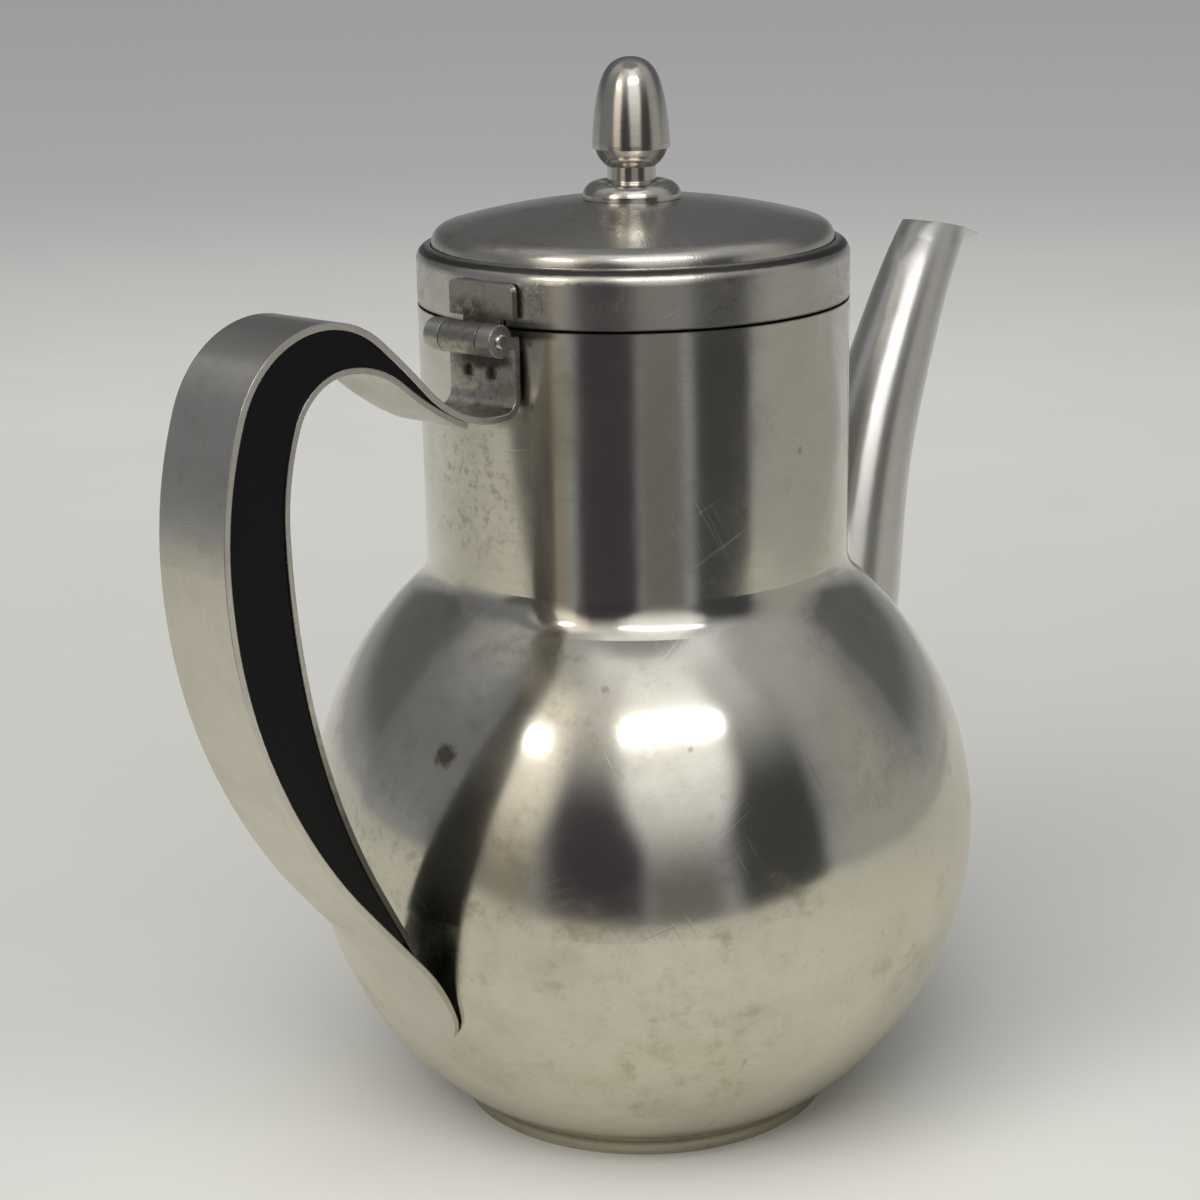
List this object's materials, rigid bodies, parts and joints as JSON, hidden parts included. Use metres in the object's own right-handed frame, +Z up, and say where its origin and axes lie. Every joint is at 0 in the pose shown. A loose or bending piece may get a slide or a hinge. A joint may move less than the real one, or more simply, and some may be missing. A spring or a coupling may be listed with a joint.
{
  "type": "coffee server",
  "caption": "Steel coffee server: a ball-shaped pot with a straight neck, a hinged lid with an acorn finial, a tapered spout and a strap handle with a dark core.",
  "frame": {"origin": "Centre of the foot ring on the surface the pot stands on, on the axis of the ball and neck.", "axes": "+Z up along the axis of the ball and neck; +X towards the spout, so the handle and the lid's hinge are at -X; +Y to the left as seen with the spout ahead."},
  "size_m": [0.2266, 0.1286, 0.2012],
  "materials": {
    "body_steel": "satin",
    "foot_steel": "satin",
    "spout_steel": "satin",
    "strap_steel": "satin",
    "lid_steel": "satin",
    "ring_steel": "satin",
    "hinge_steel": "dull satin",
    "finial_steel": "polished",
    "screw_steel": "turned",
    "core_black": "satin"
  },
  "bodies": {
    "pot": {"ball_lower": "body_steel", "ball_upper": "body_steel", "neck_tube": "body_steel", "base_pan": "foot_steel", "spout": "spout_steel", "outer_strap": "strap_steel", "inner_strap": "strap_steel", "handle_core": "core_black", "hinge_pin": "hinge_steel"},
    "lid": {"lid_shell": "lid_steel", "locating_ring": "ring_steel", "lid_leaf": "hinge_steel", "finial_collar": "finial_steel", "finial": "finial_steel", "finial_washer": "ring_steel", "finial_screw": "screw_steel"}
  },
  "joints": [
    {"name": "lid_hinge", "type": "hinge", "parent": "pot", "child": "lid", "pos_m": [-0.04485, 0, 0.1564], "axis": [0, -1, 0], "range_deg": [0, 125]}
  ]
}
